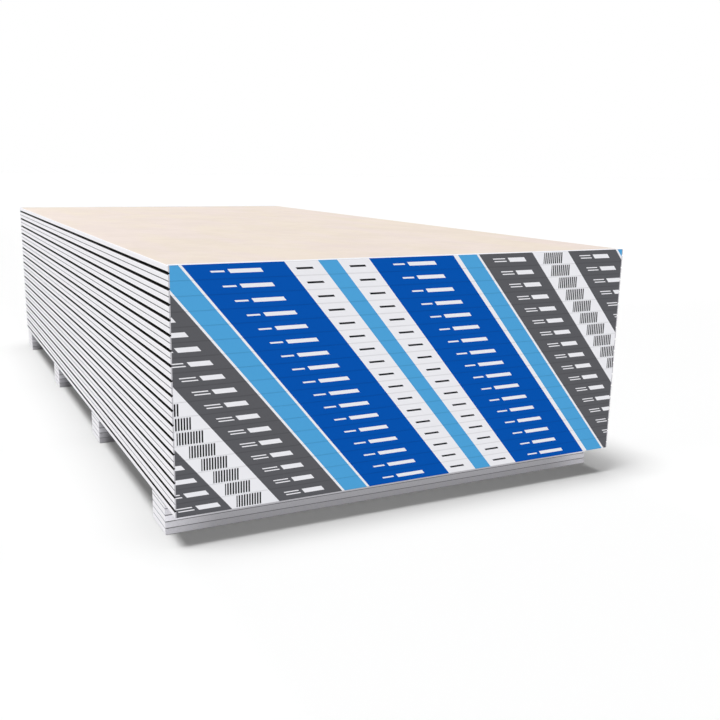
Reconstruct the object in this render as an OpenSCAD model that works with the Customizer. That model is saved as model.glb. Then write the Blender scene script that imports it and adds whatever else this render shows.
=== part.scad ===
// Lift of wallboard sheets on strip risers, taped in pairs at both ends.
// Millimetres. The origin is at the middle of the lift's foot: X across the sheets, Y along them, Z up.
// The front end is at -Y. Each pair lies face to face, so the papered backs are outside.

/* [Sheets] */
// Width of a sheet, from one tapered edge to the other
sheet_w = 1219.2; // [600:0.1:1300]
// Length of a sheet
sheet_l = 2438.4; // [1800:0.1:3700]
// Thickness of a sheet
sheet_t = 15.875; // [9.525:0.005:19.05]
// Pairs of sheets in the lift
pair_count = 17; // [2:1:19]

/* [Long edges] */
// Width of the taper along each long edge of the face
taper_w = 60; // [30:1:90]
// Depth of the taper where it meets the edge
taper_d = 1.8; // [0.5:0.1:2.5]
// Radius at which the paper wraps round the edge
wrap_r = 1.5; // [0.5:0.1:2.5]

/* [End tapes] */
// Thickness of the tape
tape_t = 0.15; // [0.1:0.01:0.3]
// Length of tape folded over the outer faces of a pair
tape_lap = 22; // [10:1:40]
// Bare margin of the sheets at each end of a tape
tape_margin = 3; // [0:0.5:20]
// Space between the tapes of neighbouring pairs
tape_gap = 0.1; // [0.05:0.01:0.3]

/* [Risers] */
// Number of risers along the lift
riser_count = 4; // [2:1:4]
// Width of a riser along the lift
riser_w = 110; // [60:1:200]
// Distance from the front end of the sheets to the first riser
riser_front_setback = 85; // [30:1:250]
// Distance from the rear end of the sheets to the last riser
riser_rear_setback = 32; // [30:1:250]
// Number of full strips in a riser
strip_count = 4; // [2:1:4]
// Thickness of a full strip
strip_t = 15.875; // [9.525:0.005:19.05]
// Thickness of the levelling strip on top of a riser
top_strip_t = 9.525; // [6.35:0.005:19.05]

/* [Hidden] */
// Straight steps in the arc of a wrapped edge
WRAP_STEPS = 4;
taper_angle = atan(taper_d / taper_w);

sheet_count = 2 * pair_count;
pair_t = 2 * sheet_t;
pair_pitch = pair_t + 2 * tape_t + tape_gap;

strips_per_riser = strip_count + 1;
riser_h = strip_count * strip_t + top_strip_t;
riser_run = sheet_l - riser_front_setback - riser_rear_setback - riser_w;
riser_pitch = riser_run / (riser_count - 1);

PAPER_BACK = "#ead9c6";
PAPER_FACE = "#eeedf2";
TAPE_BLUE = "#0a4db0";
STRIP_GREY = "#d6d5db";

function two_digits(n) = str(n < 10 ? "0" : "", n);
function sheet_name(i) = str("sheet_", two_digits(i));
function strip_name(r, s) = str("riser_", r, "_strip_", s);
SHEET_NODES = [for (i = [1 : sheet_count]) sheet_name(i)];
STRIP_NODES = [for (r = [1 : riser_count]) for (s = [1 : strips_per_riser]) strip_name(r, s)];

function arc(centre, a0, a1) =
    [for (k = [0 : WRAP_STEPS])
        let (a = a0 + (a1 - a0) * k / WRAP_STEPS)
        centre + wrap_r * [cos(a), sin(a)]];

// Right-hand half of a board's section, from the middle of the back round to the edge of the taper.
// The upper arc meets both the upright edge and the sloping taper.
function half_section(t) =
    let (arc_x = sheet_w / 2 - wrap_r)
    let (upper_z = t - taper_d + wrap_r * tan(taper_angle) - wrap_r / cos(taper_angle))
    concat(
        arc([arc_x, wrap_r], -90, 0),
        arc([arc_x, upper_z], 0, 90 - taper_angle),
        [[sheet_w / 2 - taper_w, t]]);

function mirrored(points) =
    [for (k = [len(points) - 1 : -1 : 0]) [-points[k][0], points[k][1]]];

// Board lying on its back, face up, with tapered long edges, centred on X and Y
module board(t, along) {
    half = half_section(t);
    translate([0, along / 2, 0])
        rotate([90, 0, 0])
            linear_extrude(along)
                polygon(concat(half, mirrored(half)));
}

// Sheets count upwards from the foot: odd ones lie face up, even ones face down on them
module sheet(i) {
    pair = floor((i - 1) / 2);
    face_down = i % 2 == 0;
    z = riser_h + pair * pair_pitch + (face_down ? pair_t : 0);
    color(i == sheet_count ? PAPER_BACK : PAPER_FACE)
        translate([0, 0, z])
            mirror([0, 0, face_down ? 1 : 0])
                board(sheet_t, sheet_l);
}

// Strips are cut across a board, so their ends have its tapered edges
module riser_strip(r, s) {
    is_top = s == strips_per_riser;
    y = -sheet_l / 2 + riser_front_setback + riser_w / 2 + (r - 1) * riser_pitch;
    color(STRIP_GREY)
        translate([0, y, (s - 1) * strip_t])
            board(is_top ? top_strip_t : strip_t, riser_w);
}

// Tape folded over the end of one pair, with a lap on each outer face; Y is 0 at the end of the sheets
module tape_fold() {
    tape_w = sheet_w - 2 * tape_margin;
    translate([-tape_w / 2, 0, 0])
        rotate([90, 0, 90])
            linear_extrude(tape_w)
                polygon([
                    [-tape_t, -tape_t],
                    [tape_lap, -tape_t],
                    [tape_lap, 0],
                    [0, 0],
                    [0, pair_t],
                    [tape_lap, pair_t],
                    [tape_lap, pair_t + tape_t],
                    [-tape_t, pair_t + tape_t]]);
}

module end_tapes() {
    color(TAPE_BLUE)
        for (p = [0 : pair_count - 1])
            translate([0, -sheet_l / 2, riser_h + p * pair_pitch])
                tape_fold();
}

for (i = [1 : sheet_count])
    sheet(i);
for (r = [1 : riser_count], s = [1 : strips_per_riser])
    riser_strip(r, s);
end_tapes();  // front_end_tapes
mirror([0, 1, 0]) end_tapes();  // rear_end_tapes
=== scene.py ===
import math

import bpy
from mathutils import Matrix, Vector


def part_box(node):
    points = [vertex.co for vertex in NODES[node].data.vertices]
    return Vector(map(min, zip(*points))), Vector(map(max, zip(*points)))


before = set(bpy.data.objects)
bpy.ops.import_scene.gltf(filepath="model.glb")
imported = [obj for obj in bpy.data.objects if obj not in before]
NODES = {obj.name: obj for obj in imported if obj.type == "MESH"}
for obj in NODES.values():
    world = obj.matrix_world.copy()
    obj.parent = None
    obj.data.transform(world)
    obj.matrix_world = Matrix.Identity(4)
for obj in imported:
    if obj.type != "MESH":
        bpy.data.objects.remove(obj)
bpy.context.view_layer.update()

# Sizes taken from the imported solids, in metres
SHEETS = sorted(name for name in NODES if name.startswith("sheet_"))
STRIPS = sorted(name for name in NODES if name.startswith("riser_"))
BOTTOM_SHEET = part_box(SHEETS[0])
FRONT_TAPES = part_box("front_end_tapes")
FOOT_Z = BOTTOM_SHEET[0].z
TOP_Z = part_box(SHEETS[-1])[1].z
HALF_WIDTH = BOTTOM_SHEET[1].x
HALF_LENGTH = BOTTOM_SHEET[1].y
SHEET_T = BOTTOM_SHEET[1].z - BOTTOM_SHEET[0].z
PAIR_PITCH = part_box(SHEETS[2])[0].z - FOOT_Z
STRIP_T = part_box(STRIPS[0])[1].z
TAPE_WIDTH = FRONT_TAPES[1].x - FRONT_TAPES[0].x

# The photograph's camera, fitted to the corners of the stack: pixels, metres and degrees
IMAGE_PX = 720
FOCAL_PX = 879.29
CENTRE_PX = (348.0, 364.2)
SENSOR_MM = 36.0
CAMERA_PLACE = (-1.0840, -2.9731, 0.8222)
CAMERA_HEADING = 26.826
CAMERA_TILT = -12.716
CAMERA_ROLL = 0.939
# A camera with no turn looks straight down, and this one brings it level
LEVEL_TURN = 90
VIEW_LIMIT = 200.0

# Colours, as linear red, green and blue
BACK_PAPER = (0.826, 0.728, 0.653)
BACK_PAPER_SHADE = (0.790, 0.692, 0.617)
COOL_TINT = (1.0, 0.996, 1.025)
WARM_TINT = (1.0, 1.004, 0.975)
EDGE_PAPER = (0.87, 0.86, 0.89)
FACE_PAPER = (0.56, 0.54, 0.50)
# Painted shade: near black in the taper gap between the two sheets of a pair
TAPER_SHADE = (0.012, 0.011, 0.010)
# Painted shade on the wrapped corners where two pairs meet
JOINT_SHADE = (0.18, 0.18, 0.20)
# Painted shade: the bottom sheet's underside, darker than the back paper on top
UNDERSIDE_PAINTED_SHADE = (0.46, 0.42, 0.39)
GYPSUM = (0.57, 0.563, 0.600)
GYPSUM_PORE = (0.435, 0.428, 0.458)
# Painted shade: a dark line where two strips meet, and where a riser meets the sheet above
STRIP_JOINT = (0.17, 0.168, 0.178)
# Painted shade: grey on the flat faces at a riser's ends, between its strips
STRIP_END_JOINT = (0.70, 0.70, 0.73)
TAPE_PAPER = (0.88, 0.88, 0.92)
INKS = {
    "white": TAPE_PAPER,
    "charcoal": (0.110, 0.111, 0.122),
    "sky": (0.080, 0.375, 0.72),
    "blue": (0.001, 0.088, 0.445),
    "black": (0.020, 0.020, 0.024),
}

# Studio: the floor's colour as seen and as it throws light back, its size, and the light from all round
FLOOR_SEEN = (0.965, 0.965, 0.965)
FLOOR_BOUNCE = (0.42, 0.42, 0.42)
FLOOR_SIZE = 120.0
WORLD_LIGHT = 0.12
# Lamps: name, the direction that the light comes from, strength, and spread in degrees
SUNS = [
    ("key_sun", (-0.26, 0.0, 1.0), 1.58, 19.0),
    ("top_sun", (0.0, 0.0, 1.0), 1.07, 30.0),
    ("left_fill", (-1.0, 0.0, 0.055), 1.80, 6.0),
    ("front_fill", (0.0, -1.0, 0.055), 1.90, 6.0),
    ("right_fill", (1.0, 0.0, 0.035), 1.60, 4.0),
    ("back_fill", (0.0, 1.0, 0.055), 1.72, 6.0),
]

# Grain of each finish: patches to the metre, detail, and stretch along X, Y and Z where it isn't even
TAPE_FIBRE = (900, 3.0)
TAPE_CLOUD = (9, 3.0)
SHEET_FIBRE = (700, 3.0, (1.0, 0.35, 1.0))
SHEET_CLOUD = (7, 5.0)
SHEET_FLECK = (24, 4.0)
SHEET_WARMTH = (9, 4.0, (1.0, 0.3, 1.0))
SHEET_PORES = (1500, 2.0)
STRIP_GRAIN = (420, 4.0)
STRIP_PORES = (1300, 2.0)
# Shares of cloud and fleck in the back paper's mottle, and the noise levels between which its colour turns
CLOUD_SHARE = 0.6
FLECK_SHARE = 0.4
TURN_LOW = 0.34
TURN_HIGH = 0.66
# Noise level over which gypsum shows a pore
PORE_LEVEL = 0.62
# Tone of each finish: the least, and what its grain adds
TAPE_TONE = 0.955
TAPE_FIBRE_GAIN = 0.05
TAPE_CLOUD_GAIN = 0.04
SHEET_TONE = 0.96
SHEET_FIBRE_GAIN = 0.08
STRIP_TONE = 0.93
STRIP_GRAIN_GAIN = 0.12
# Roughness of each finish: the least, what the grain adds, and the gloss that all share
TAPE_ROUGHNESS = 0.5
SHEET_ROUGHNESS = 0.82
STRIP_ROUGHNESS = 0.85
ROUGHNESS_GAIN = 0.1
PAPER_GLOSS = 0.02
# Relief of each finish: strength, and depth in metres
TAPE_RELIEF = (0.15, 0.0004)
SHEET_RELIEF = (0.25, 0.0006)
STRIP_RELIEF = (0.3, 0.0008)

# Facing over which a surface is a flat side or a sawn end
FLAT_FACING = 0.4
CUT_FACING = 0.5
# Bands of a sheet's section: near its face, where painted shade darkens the taper gap and the wrapped
# corners beside it; round its wrapped corners; and the start and end of the painted shade fading out in its
# taper
FACE_BAND = 0.0036
WRAP_BAND = 0.0016
SHADE_START = 0.020
SHADE_END = 0.055
# Half the painted shade line at a joint of two strips, and the tone of each strip in a riser from the floor
# up
STRIP_LINE = 0.0009
LAYER_TONES = (0.67, 0.77, 1.0, 0.83, 0.93)
# Painted light: a riser's sawn sides grow paler over this distance from its ends, by up to this share
END_LIGHT_REACH = 0.14
END_LIGHT_GAIN = 0.6

# Stripes of the tape from its left end at the foot: ink, width along the tape, and marks in each row
STRIPES = [
    ("charcoal", 0.125, "bold"), ("white", 0.110, "ladder"), ("charcoal", 0.160, "bold"),
    ("white", 0.010, None), ("sky", 0.055, None), ("white", 0.010, None),
    ("blue", 0.225, "slim"),
    ("white", 0.080, "dash"), ("sky", 0.050, None), ("white", 0.080, "dash"),
    ("blue", 0.225, "slim"),
    ("white", 0.010, None), ("sky", 0.055, None), ("white", 0.010, None),
    ("charcoal", 0.160, "bold"), ("white", 0.110, "ladder"), ("charcoal", 0.160, "bold"),
    ("white", 0.010, None), ("sky", 0.060, None),
]
# Run of a stripe along the tape for each metre that it drops
SLANT = 0.82
# Printed bars: shift and rise from the middle of the stripe in that row, length and height
BARS = {
    "slim": [(0.016, 0.0, 0.074, 0.0085), (-0.046, 0.0, 0.030, 0.0035)],
    "bold": [
        (0.022, 0.0, 0.050, 0.0105),
        (-0.030, 0.0032, 0.036, 0.0024),
        (-0.030, -0.0032, 0.036, 0.0024),
    ],
    "dash": [(0.0, 0.0, 0.040, 0.0045)],
}
# Ladder of upright ticks in a row, and the share of each pitch that a tick fills
LADDER_LENGTH = 0.060
LADDER_HEIGHT = 0.0275
TICK_PITCH = 0.0062
TICK_SHARE = 0.6
# Fold of each tape: the painted shade line beside it, its tone, and the print that turns over it
FOLD_BAND = 0.0011
FOLD_TONE = 0.88
FOLD_PRINT = 0.0015

# Colour sockets of a Mix node, which have the same names as its other sockets
MIX_UNDER = 6
MIX_OVER = 7
MIX_RESULT = 2


class Wire:
    """A shader value that plain arithmetic can use; each operation adds one Math node."""

    def __init__(self, nodes, socket):
        self.nodes = nodes
        self.socket = socket

    def math(self, operation, *values):
        return self.nodes.add("ShaderNodeMath", {"operation": operation}, dict(enumerate(values)))

    def __add__(self, other):
        return self.math("ADD", self, other)

    def __sub__(self, other):
        return self.math("SUBTRACT", self, other)

    def __rsub__(self, other):
        return self.math("SUBTRACT", other, self)

    def __mul__(self, other):
        return self.math("MULTIPLY", self, other)

    def __truediv__(self, other):
        return self.math("DIVIDE", self, other)

    def __lt__(self, other):
        return self.math("LESS_THAN", self, other)

    def __gt__(self, other):
        return self.math("GREATER_THAN", self, other)

    def __abs__(self):
        return self.math("ABSOLUTE", self)

    __radd__ = __add__
    __rmul__ = __mul__

    def floor(self):
        return self.math("FLOOR", self)

    def fraction(self):
        return self.math("FRACT", self)

    def rounded(self):
        return self.math("ROUND", self)

    def either(self, other):
        return self.math("MAXIMUM", self, other)

    def rise(self, start, end):
        """0 up to start, 1 from end on, and smooth between them."""
        sockets = {"Value": self, "From Min": start, "From Max": end}
        return self.nodes.add("ShaderNodeMapRange", {"interpolation_type": "SMOOTHSTEP"}, sockets)


class Nodes:
    """A node tree that takes new nodes."""

    def __init__(self, tree):
        self.tree = tree

    def add(self, kind, settings=None, sockets=None, out=0):
        """Adds a node, sets it up, fills its sockets with values or links and returns one output."""
        node = self.tree.nodes.new(kind)
        for key, value in (settings or {}).items():
            if key == "stops":
                fill_ramp(node.color_ramp, value)
            else:
                setattr(node, key, value)
        for key, value in (sockets or {}).items():
            self.fill(node, key, value)
        return Wire(self, node.outputs[out])

    def fill(self, node, socket, value):
        if isinstance(value, Wire):
            self.tree.links.new(value.socket, node.inputs[socket])
        else:
            node.inputs[socket].default_value = value

    def seen(self):
        """1 on rays from the camera, a gloss or a clear surface, and 0 on light that strikes the object."""
        direct = self.add("ShaderNodeLightPath", out="Is Camera Ray")
        gloss = self.add("ShaderNodeLightPath", out="Is Glossy Ray")
        clear = self.add("ShaderNodeLightPath", out="Is Transmission Ray")
        return direct.either(gloss).either(clear)


class Finish(Nodes):
    """One material, with the nodes that make its colour, roughness and relief."""

    def __init__(self, name):
        self.material = bpy.data.materials.new(name)
        self.material.use_nodes = True
        super().__init__(self.material.node_tree)
        self.shader = self.tree.nodes["Principled BSDF"]
        self.place = self.add("ShaderNodeTexCoord", out="Object")

    def axes(self, vector):
        return [self.add("ShaderNodeSeparateXYZ", None, {0: vector}, out=k) for k in range(3)]

    def facing(self):
        """How far the surface faces along X, Y and Z, from 0 to 1."""
        return [abs(axis) for axis in self.axes(self.add("ShaderNodeNewGeometry", out="Normal"))]

    def noise(self, scale, detail, stretch=(1.0, 1.0, 1.0)):
        """Noise from 0 to 1 with that many patches to the metre."""
        place = self.add("ShaderNodeMapping", None, {"Vector": self.place, "Scale": stretch})
        return self.add("ShaderNodeTexNoise", None, {"Vector": place, "Scale": scale, "Detail": detail})

    def blend(self, share, under, over):
        """Colour that goes from under to over as share goes from 0 to 1."""
        under, over = [(*c, 1.0) if isinstance(c, tuple) else c for c in (under, over)]
        sockets = {0: share, MIX_UNDER: under, MIX_OVER: over}
        return self.add("ShaderNodeMix", {"data_type": "RGBA"}, sockets, out=MIX_RESULT)

    def stained(self, colour, tint):
        """Colour times another colour."""
        return self.add("ShaderNodeVectorMath", {"operation": "MULTIPLY"}, {0: colour, 1: tint})

    def tinted(self, colour, amount):
        """Colour times a grey amount."""
        grey = self.add("ShaderNodeCombineXYZ", None, {0: amount, 1: amount, 2: amount})
        return self.stained(colour, grey)

    def set(self, socket, value):
        self.fill(self.shader, socket, value)

    def surface(self, colour, tone, grain, roughness, relief):
        """Sets the colour of a dull paper or board, and the roughness and relief that follow its grain."""
        strength, depth = relief
        bump = {"Height": grain, "Strength": strength, "Distance": depth}
        self.set("Base Color", self.tinted(colour, tone))
        self.set("Roughness", grain * ROUGHNESS_GAIN + roughness)
        self.set("Specular IOR Level", PAPER_GLOSS)
        self.set("Normal", self.add("ShaderNodeBump", None, bump))


def fill_ramp(ramp, stops):
    """Sets a ramp to flat steps, each a start from 0 to 1 and a colour."""
    ramp.interpolation = "CONSTANT"
    while len(ramp.elements) < len(stops):
        ramp.elements.new(1.0)
    for element, (start, colour) in zip(ramp.elements, stops):
        element.position = start
        element.color = (*colour, 1.0)


def stripe_layout():
    """The tape's stripes as start, ink, middle and marks, and the width of them all."""
    layout = []
    total = 0.0
    for ink, width, marks in STRIPES:
        layout.append((total, ink, total + width / 2, marks))
        total += width
    return layout, total


def bar(across, up, centre, rise, length, height):
    """Mask of one printed bar."""
    return (abs(across - centre) < length / 2) * (abs(up - rise) < height / 2)


def either_of(masks):
    """Mask of all the places in any of the masks."""
    joined = masks[0]
    for mask in masks[1:]:
        joined = joined.either(mask)
    return joined


def printed_bars(layout, slid, up, kinds):
    """Mask of the bars on the stripes with those marks; their ends lean as the stripes do."""
    masks = []
    for _, _, middle, marks in layout:
        if marks in kinds:
            masks += [bar(slid, up, middle + shift, *shape) for shift, *shape in BARS[marks]]
    return either_of(masks)


def tick_ladders(layout, stepped, up):
    """Mask of the even upright ticks, which step along from row to row."""
    middles = [middle for _, _, middle, marks in layout if marks == "ladder"]
    blocks = either_of([bar(stepped, up, middle, 0.0, LADDER_LENGTH, LADDER_HEIGHT) for middle in middles])
    return blocks * ((stepped / TICK_PITCH).fraction() < TICK_SHARE)


def tape_finish(name, side):
    """Printed paper tape; side is 1 at the front end and -1 at the rear, where the print turns round."""
    paint = Finish(name)
    x, y, z = paint.axes(paint.place)
    _, _, flat = paint.facing()
    along = x * side + TAPE_WIDTH / 2
    height = z - FOOT_Z
    slid = along + height * SLANT
    layout, total = stripe_layout()
    stops = [(start / total, INKS[ink]) for start, ink, _, _ in layout]
    printed = paint.add("ShaderNodeValToRGB", {"stops": stops}, {0: slid / total})
    row_middle = (height / PAIR_PITCH).floor() * PAIR_PITCH + SHEET_T
    up = height - row_middle
    dark_marks = printed_bars(layout, slid, up, ["dash"])
    dark_marks = dark_marks.either(tick_ladders(layout, along + row_middle * SLANT, up))
    printed = paint.blend(printed_bars(layout, slid, up, ["slim", "bold"]), printed, TAPE_PAPER)
    printed = paint.blend(dark_marks, printed, INKS["black"])
    # Painted shade along the fold at each row's edge
    printed = paint.tinted(printed, 1.0 - (abs(up) > SHEET_T - FOLD_BAND) * (1.0 - FOLD_TONE))
    lap = (flat > FLAT_FACING) * (abs(y) < HALF_LENGTH - FOLD_PRINT)
    fibre = paint.noise(*TAPE_FIBRE)
    cloud = paint.noise(*TAPE_CLOUD)
    colour = paint.blend(lap, printed, TAPE_PAPER)
    tone = fibre * TAPE_FIBRE_GAIN + cloud * TAPE_CLOUD_GAIN + TAPE_TONE
    paint.surface(colour, tone, fibre, TAPE_ROUGHNESS, TAPE_RELIEF)
    return paint.material


def wallboard_finish(name):
    """Sheet with a cream back, white wrapped edges, painted shade in its taper, on the corners where two
    pairs meet and under the bottom sheet, and a gypsum core at its cut ends.
    """
    paint = Finish(name)
    x, _, z = paint.axes(paint.place)
    _, cut, flat = paint.facing()
    inward = HALF_WIDTH - abs(x)
    in_pair = ((z - FOOT_Z) / PAIR_PITCH).fraction() * PAIR_PITCH
    fibre = paint.noise(*SHEET_FIBRE)
    mottle = paint.noise(*SHEET_CLOUD) * CLOUD_SHARE + paint.noise(*SHEET_FLECK) * FLECK_SHARE
    back = paint.blend(mottle.rise(TURN_LOW, TURN_HIGH), BACK_PAPER, BACK_PAPER_SHADE)
    warmth = paint.noise(*SHEET_WARMTH).rise(TURN_LOW, TURN_HIGH)
    back = paint.stained(back, paint.blend(warmth, COOL_TINT, WARM_TINT))
    # Painted shade: the underside of the bottom sheet is darker than its back paper
    back = paint.blend(z < FOOT_Z + WRAP_BAND, back, UNDERSIDE_PAINTED_SHADE)
    outside = (z > TOP_Z - WRAP_BAND).either(z < FOOT_Z + WRAP_BAND)
    # Painted shade on the wrapped corners where two pairs meet; the outer corners at the top and foot keep
    # the white edge paper
    corner = paint.blend(outside, JOINT_SHADE, EDGE_PAPER)
    back = paint.blend(inward < WRAP_BAND, back, corner)
    # Painted shade in the taper gap: near black at the sheet's long edge, fading to face paper further in
    face = paint.blend(inward.rise(SHADE_START, SHADE_END), TAPER_SHADE, FACE_PAPER)
    by_face = abs(in_pair - SHEET_T) < FACE_BAND
    inner = paint.blend(by_face, back, face)
    # Inside the band near the face, which takes in the wrapped corners and a little of the edge, the
    # painted taper shade covers the edge paper too
    colour = paint.blend((flat > FLAT_FACING).either(by_face), EDGE_PAPER, inner)
    core = paint.blend(paint.noise(*SHEET_PORES) > PORE_LEVEL, GYPSUM, GYPSUM_PORE)
    colour = paint.blend(cut > CUT_FACING, colour, core)
    paint.surface(colour, fibre * SHEET_FIBRE_GAIN + SHEET_TONE, fibre, SHEET_ROUGHNESS, SHEET_RELIEF)
    return paint.material


def riser_finish(name):
    """Strip cut from board: gypsum on the sawn sides, with painted light towards its ends and painted shade
    at its joints, and white paper round its ends, with painted shade on their flat faces.
    """
    paint = Finish(name)
    x, _, z = paint.axes(paint.place)
    _, cut, flat = paint.facing()
    layer = z / STRIP_T
    # Painted shade along each joint of two strips and along the riser's top
    joint = abs(layer - layer.rounded()) * STRIP_T < STRIP_LINE
    joint = joint.either(z > FOOT_Z - STRIP_LINE)
    grain = paint.noise(*STRIP_GRAIN)
    tones = [(k / len(LAYER_TONES), (tone,) * 3) for k, tone in enumerate(LAYER_TONES)]
    tone = paint.add("ShaderNodeValToRGB", {"stops": tones}, {0: layer / len(LAYER_TONES)})
    # Painted light: the sawn sides grow paler towards the riser's ends
    painted_end_light = 1.0 - (HALF_WIDTH - abs(x)).rise(0.0, END_LIGHT_REACH)
    core = paint.blend(paint.noise(*STRIP_PORES) > PORE_LEVEL, GYPSUM, GYPSUM_PORE)
    core = paint.tinted(core, tone * (painted_end_light * END_LIGHT_GAIN + 1.0))
    # Painted shade on the flat faces at the riser's ends; the end faces keep the white edge paper
    end = paint.blend(flat > FLAT_FACING, EDGE_PAPER, STRIP_END_JOINT)
    colour = paint.blend(cut > CUT_FACING, end, paint.blend(joint, core, STRIP_JOINT))
    paint.surface(colour, grain * STRIP_GRAIN_GAIN + STRIP_TONE, grain, STRIP_ROUGHNESS, STRIP_RELIEF)
    return paint.material


def dress(names, material):
    """Gives CAD nodes their finish."""
    for name in names:
        mesh = NODES[name].data
        mesh.materials.clear()
        mesh.materials.append(material)


def no_bounce(names):
    """Keeps CAD nodes from throwing light and colour back onto the floor."""
    for name in names:
        NODES[name].visible_diffuse = False


def studio_floor():
    """Pale floor that the camera sees as white where no shadow falls."""
    bpy.ops.object.select_all(action="DESELECT")
    bpy.ops.mesh.primitive_plane_add(size=FLOOR_SIZE)
    floor = bpy.context.object
    floor.name = "studio_floor"
    paint = Finish("floor_white")
    paint.set("Base Color", paint.blend(paint.seen(), FLOOR_BOUNCE, FLOOR_SEEN))
    paint.set("Roughness", 1.0)
    paint.set("Specular IOR Level", 0.0)
    floor.data.materials.append(paint.material)


def studio_world():
    """Even light from all round, seen as white."""
    world = bpy.data.worlds.new("studio_world")
    bpy.context.scene.world = world
    world.use_nodes = True
    sky = Nodes(world.node_tree)
    backdrop = sky.tree.nodes["Background"]
    sky.fill(backdrop, "Color", (1.0, 1.0, 1.0, 1.0))
    sky.fill(backdrop, "Strength", sky.seen() * (1.0 - WORLD_LIGHT) + WORLD_LIGHT)


def sun(name, towards, strength, spread):
    """Soft sun whose light comes from the direction towards; the spread is in degrees."""
    lamp = bpy.data.lights.new(name, "SUN")
    lamp.energy = strength
    lamp.angle = math.radians(spread)
    holder = bpy.data.objects.new(name, lamp)
    holder.rotation_mode = "QUATERNION"
    holder.rotation_quaternion = Vector(towards).to_track_quat("Z", "Y")
    bpy.context.scene.collection.objects.link(holder)


def camera():
    """Camera at the photograph's place and angle."""
    lens = bpy.data.cameras.new("camera")
    lens.sensor_width = SENSOR_MM
    lens.lens = FOCAL_PX / IMAGE_PX * SENSOR_MM
    lens.shift_x = (IMAGE_PX / 2 - CENTRE_PX[0]) / IMAGE_PX
    lens.shift_y = (CENTRE_PX[1] - IMAGE_PX / 2) / IMAGE_PX
    lens.clip_end = VIEW_LIMIT
    holder = bpy.data.objects.new("camera", lens)
    turn = Matrix.Rotation(math.radians(-CAMERA_HEADING), 4, "Z")
    turn = turn @ Matrix.Rotation(math.radians(LEVEL_TURN + CAMERA_TILT), 4, "X")
    turn = turn @ Matrix.Rotation(math.radians(CAMERA_ROLL), 4, "Z")
    holder.matrix_world = Matrix.Translation(CAMERA_PLACE) @ turn
    bpy.context.scene.collection.objects.link(holder)
    bpy.context.scene.camera = holder


dress(SHEETS, wallboard_finish("wallboard_paper"))
dress(STRIPS, riser_finish("riser_board"))
dress(["front_end_tapes"], tape_finish("front_tape_print", 1))
dress(["rear_end_tapes"], tape_finish("rear_tape_print", -1))
no_bounce(NODES)
studio_floor()
studio_world()
for name, towards, strength, spread in SUNS:
    sun(name, towards, strength, spread)
camera()
bpy.context.scene.view_settings.view_transform = "Standard"
